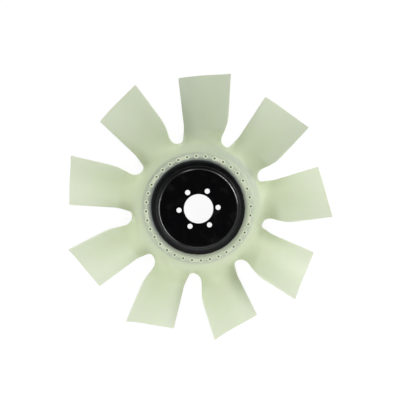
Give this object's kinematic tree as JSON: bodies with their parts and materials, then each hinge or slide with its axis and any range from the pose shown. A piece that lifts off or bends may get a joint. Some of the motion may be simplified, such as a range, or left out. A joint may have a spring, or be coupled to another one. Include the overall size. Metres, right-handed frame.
{
  "type": "axial fan impeller",
  "caption": "Axial fan impeller with scooped nylon blades moulded in one piece round a black pressed steel hub disc with a pilot bore and a bolt circle.",
  "frame": {"origin": "centre of the pilot bore, on the hub face that seats on the drive flange", "axes": "+Z along the spin axis, out of the hub face; +Y along the middle line of the first blade; +X to the right when the hub face is seen from in front"},
  "size_m": [0.5399, 0.5381, 0.0579],
  "materials": {
    "nylon": "satin, slightly translucent natural nylon",
    "black_paint": "gloss black paint over pressed steel"
  },
  "bodies": {
    "root": {"nylon_blade_ring": "nylon", "steel_hub_disc": "black_paint"}
  },
  "joints": []
}
